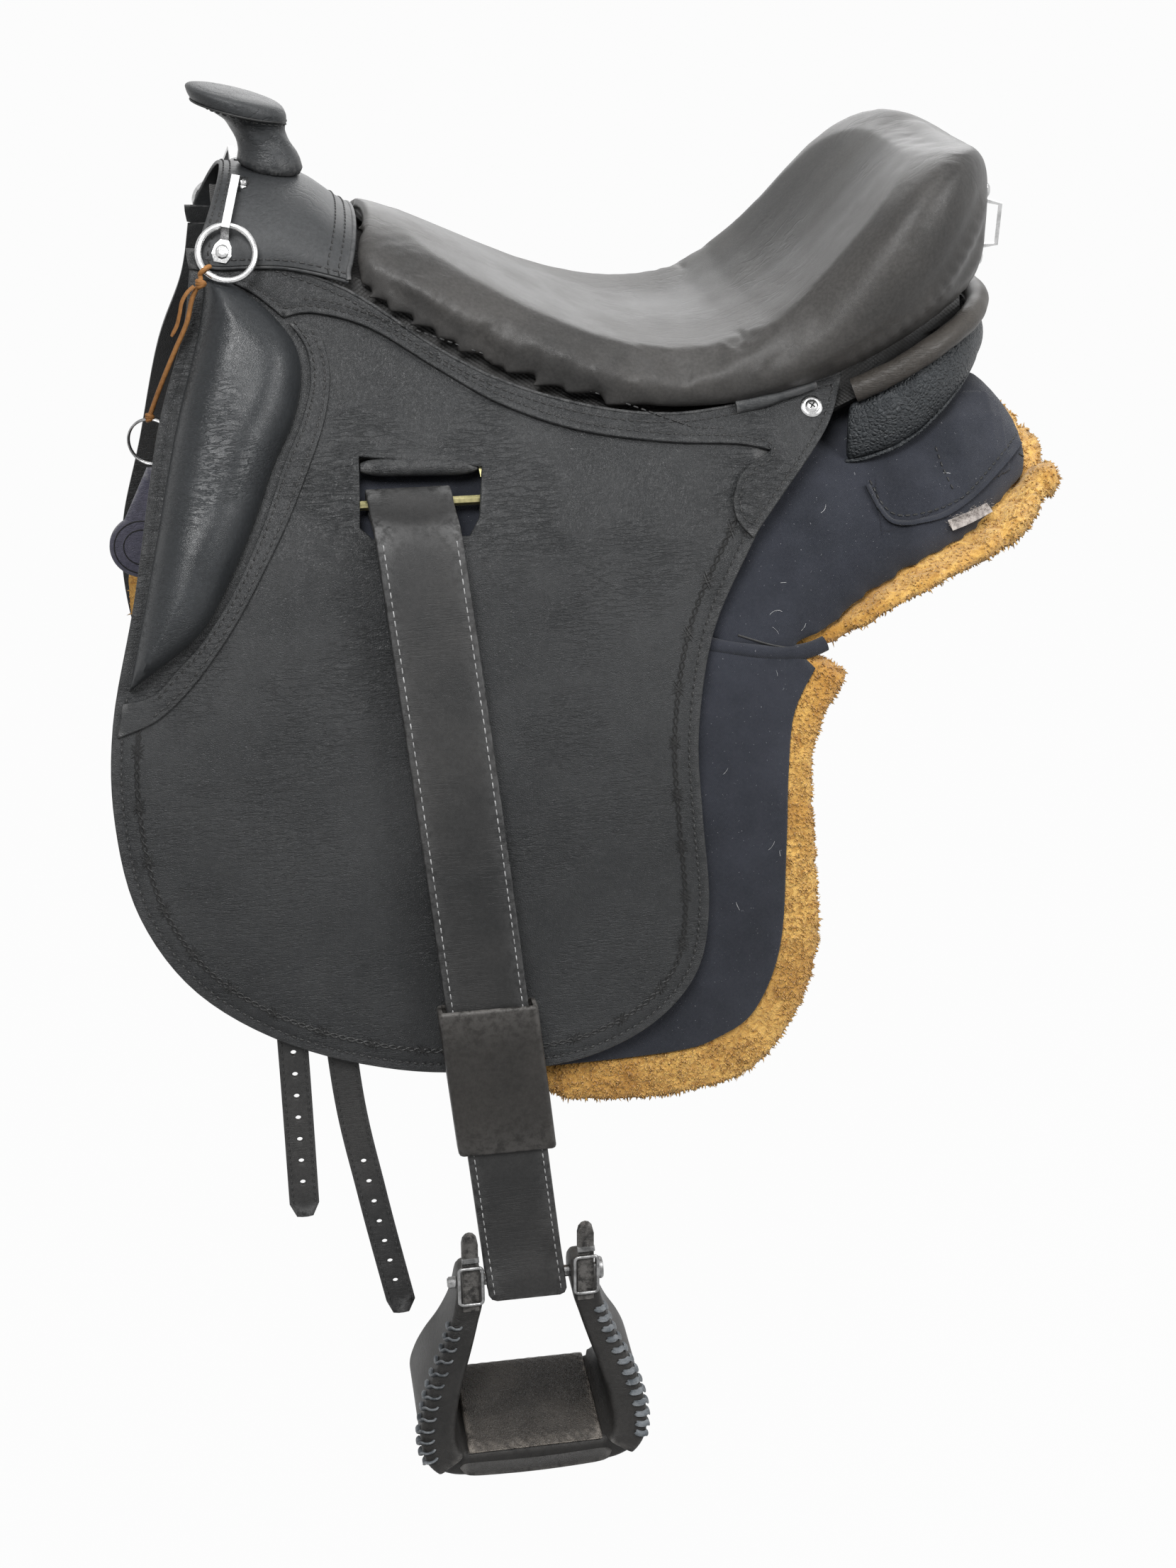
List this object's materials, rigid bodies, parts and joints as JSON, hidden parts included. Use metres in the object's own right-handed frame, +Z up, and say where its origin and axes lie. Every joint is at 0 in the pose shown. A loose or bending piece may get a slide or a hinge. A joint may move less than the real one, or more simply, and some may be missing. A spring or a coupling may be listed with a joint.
{
  "type": "trekking saddle",
  "caption": "Deep-seated trail saddle with a low horn, leather skirts and flaps with knee rolls, sheepskin-lined panels, staples, billets and leather-covered stirrups.",
  "frame": {"origin": "on the saddle's middle plane, under the tree, where it rests over the horse's back", "axes": "+X to the cantle (rear), +Y to the far (right) side, +Z up; the near (left) side is -Y"},
  "size_m": [0.6689, 0.6598, 0.9436],
  "materials": {
    "black_leather": "smooth, light grain",
    "seat_leather": "smooth, worn sheen",
    "brown_black_leather": "smooth, light sheen",
    "black_canvas": "matt woven canvas",
    "golden_sheepskin": "short curly wool pile",
    "chromed_steel": "polished",
    "dull_brass": "dull, hand worn",
    "tan_leather": "raw cut lace",
    "tree_laminate": "rough moulded laminate"
  },
  "bodies": {
    "saddle": {"billet_webbing_left": "black_canvas", "billet_webbing_right": "black_canvas", "cantle_roll": "brown_black_leather", "flap_left": "black_leather", "flap_right": "black_leather", "front_staple_left": "chromed_steel", "front_staple_right": "chromed_steel", "ground_seat": "brown_black_leather", "horn": "black_leather", "knee_roll_binding_left": "black_leather", "knee_roll_binding_right": "black_leather", "knee_roll_left": "black_leather", "knee_roll_right": "black_leather", "panel_fleece_left": "golden_sheepskin", "panel_fleece_right": "golden_sheepskin", "panel_left": "black_canvas", "panel_pocket_left": "black_canvas", "panel_pocket_right": "black_canvas", "panel_right": "black_canvas", "pommel_cover": "black_leather", "rear_facing": "black_leather", "rear_staple_left": "chromed_steel", "rear_staple_right": "chromed_steel", "seat": "seat_leather", "skirt_left": "black_leather", "skirt_right": "black_leather", "skirt_screw_left": "chromed_steel", "skirt_screw_right": "chromed_steel", "stirrup_bar_left": "dull_brass", "stirrup_bar_right": "dull_brass", "sweat_flap_fleece_left": "golden_sheepskin", "sweat_flap_fleece_right": "golden_sheepskin", "sweat_flap_left": "black_canvas", "sweat_flap_right": "black_canvas", "tree": "tree_laminate"},
    "hanger_left": {"stirrup_leather_hanger_left": "black_leather"},
    "leather_left": {"stirrup_leather_left": "black_leather"},
    "sleeve_left": {"sleeve_left": "brown_black_leather"},
    "stirrup_left": {"stirrup_left": "black_leather", "stirrup_tread_left": "brown_black_leather", "stirrup_bolt_left": "chromed_steel", "stirrup_buckle_fore_left": "chromed_steel", "stirrup_buckle_aft_left": "chromed_steel"},
    "front_billet_left": {"front_billet_left": "black_leather"},
    "rear_billet_left": {"rear_billet_left": "black_leather"},
    "ring_left": {"front_ring_left": "chromed_steel", "lace": "tan_leather"},
    "hanger_right": {"stirrup_leather_hanger_right": "black_leather"},
    "leather_right": {"stirrup_leather_right": "black_leather"},
    "sleeve_right": {"sleeve_right": "brown_black_leather"},
    "stirrup_right": {"stirrup_right": "black_leather", "stirrup_tread_right": "brown_black_leather", "stirrup_bolt_right": "chromed_steel", "stirrup_buckle_fore_right": "chromed_steel", "stirrup_buckle_aft_right": "chromed_steel"},
    "front_billet_right": {"front_billet_right": "black_leather"},
    "rear_billet_right": {"rear_billet_right": "black_leather"},
    "ring_right": {"front_ring_right": "chromed_steel"},
    "key_ring": {"key_ring": "chromed_steel"},
    "fob": {"fob": "brown_black_leather"}
  },
  "joints": [
    {"name": "stirrup_swing_left", "type": "hinge", "parent": "saddle", "child": "hanger_left", "pos_m": [-0.1455, -0.1485, -0.04856], "axis": [-1, 0, 0], "range_deg": [0, 45]},
    {"name": "stirrup_sway_left", "type": "hinge", "parent": "hanger_left", "child": "leather_left", "pos_m": [-0.13986, -0.19819, -0.09877], "axis": [0, -0.9938, 0.1111], "range_deg": [0, 10]},
    {"name": "sleeve_slide_left", "type": "slide", "parent": "leather_left", "child": "sleeve_left", "axis": [-0.0945, 0.0991, 0.9906], "range_m": [-0.025, 0.055]},
    {"name": "stirrup_tilt_left", "type": "hinge", "parent": "leather_left", "child": "stirrup_left", "pos_m": [-0.09302, -0.27886, -0.59326], "axis": [-1, 0, 0], "range_deg": [-30, 45]},
    {"name": "front_billet_swing_left", "type": "hinge", "parent": "saddle", "child": "front_billet_left", "pos_m": [-0.249, -0.18076, -0.10543], "axis": [0, -0.9341, 0.3569], "range_deg": [-5, 2.5]},
    {"name": "rear_billet_swing_left", "type": "hinge", "parent": "saddle", "child": "rear_billet_left", "pos_m": [-0.22, -0.18031, -0.11689], "axis": [0, -0.9391, 0.3438], "range_deg": [-3.5, 1]},
    {"name": "ring_swing_left", "type": "hinge", "parent": "saddle", "child": "ring_left", "pos_m": [-0.25429, -0.07733, 0.1245], "axis": [-1, 0, 0], "range_deg": [0, 4]},
    {"name": "stirrup_swing_right", "type": "hinge", "parent": "saddle", "child": "hanger_right", "pos_m": [-0.1455, 0.1485, -0.04856], "axis": [1, 0, 0], "range_deg": [0, 45]},
    {"name": "stirrup_sway_right", "type": "hinge", "parent": "hanger_right", "child": "leather_right", "pos_m": [-0.13986, 0.19819, -0.09877], "axis": [0, -0.9938, -0.1111], "range_deg": [0, 10]},
    {"name": "sleeve_slide_right", "type": "slide", "parent": "leather_right", "child": "sleeve_right", "axis": [-0.0945, -0.0991, 0.9906], "range_m": [-0.025, 0.055]},
    {"name": "stirrup_tilt_right", "type": "hinge", "parent": "leather_right", "child": "stirrup_right", "pos_m": [-0.09302, 0.27886, -0.59326], "axis": [1, 0, 0], "range_deg": [-30, 45]},
    {"name": "front_billet_swing_right", "type": "hinge", "parent": "saddle", "child": "front_billet_right", "pos_m": [-0.249, 0.18076, -0.10543], "axis": [0, -0.9341, -0.3569], "range_deg": [-5, 2.5]},
    {"name": "rear_billet_swing_right", "type": "hinge", "parent": "saddle", "child": "rear_billet_right", "pos_m": [-0.22, 0.18031, -0.11689], "axis": [0, -0.9391, -0.3438], "range_deg": [-3.5, 1]},
    {"name": "ring_swing_right", "type": "hinge", "parent": "saddle", "child": "ring_right", "pos_m": [-0.25429, 0.07733, 0.1245], "axis": [1, 0, 0], "range_deg": [0, 90]},
    {"name": "key_ring_swing", "type": "hinge", "parent": "ring_left", "child": "key_ring", "pos_m": [-0.31231, -0.09931, 0.00505], "axis": [-1, 0, 0], "range_deg": [-30, 8]},
    {"name": "fob_swing", "type": "hinge", "parent": "key_ring", "child": "fob", "pos_m": [-0.31271, -0.09931, -0.02789], "axis": [-1, 0, 0], "range_deg": [-30, 15]}
  ]
}
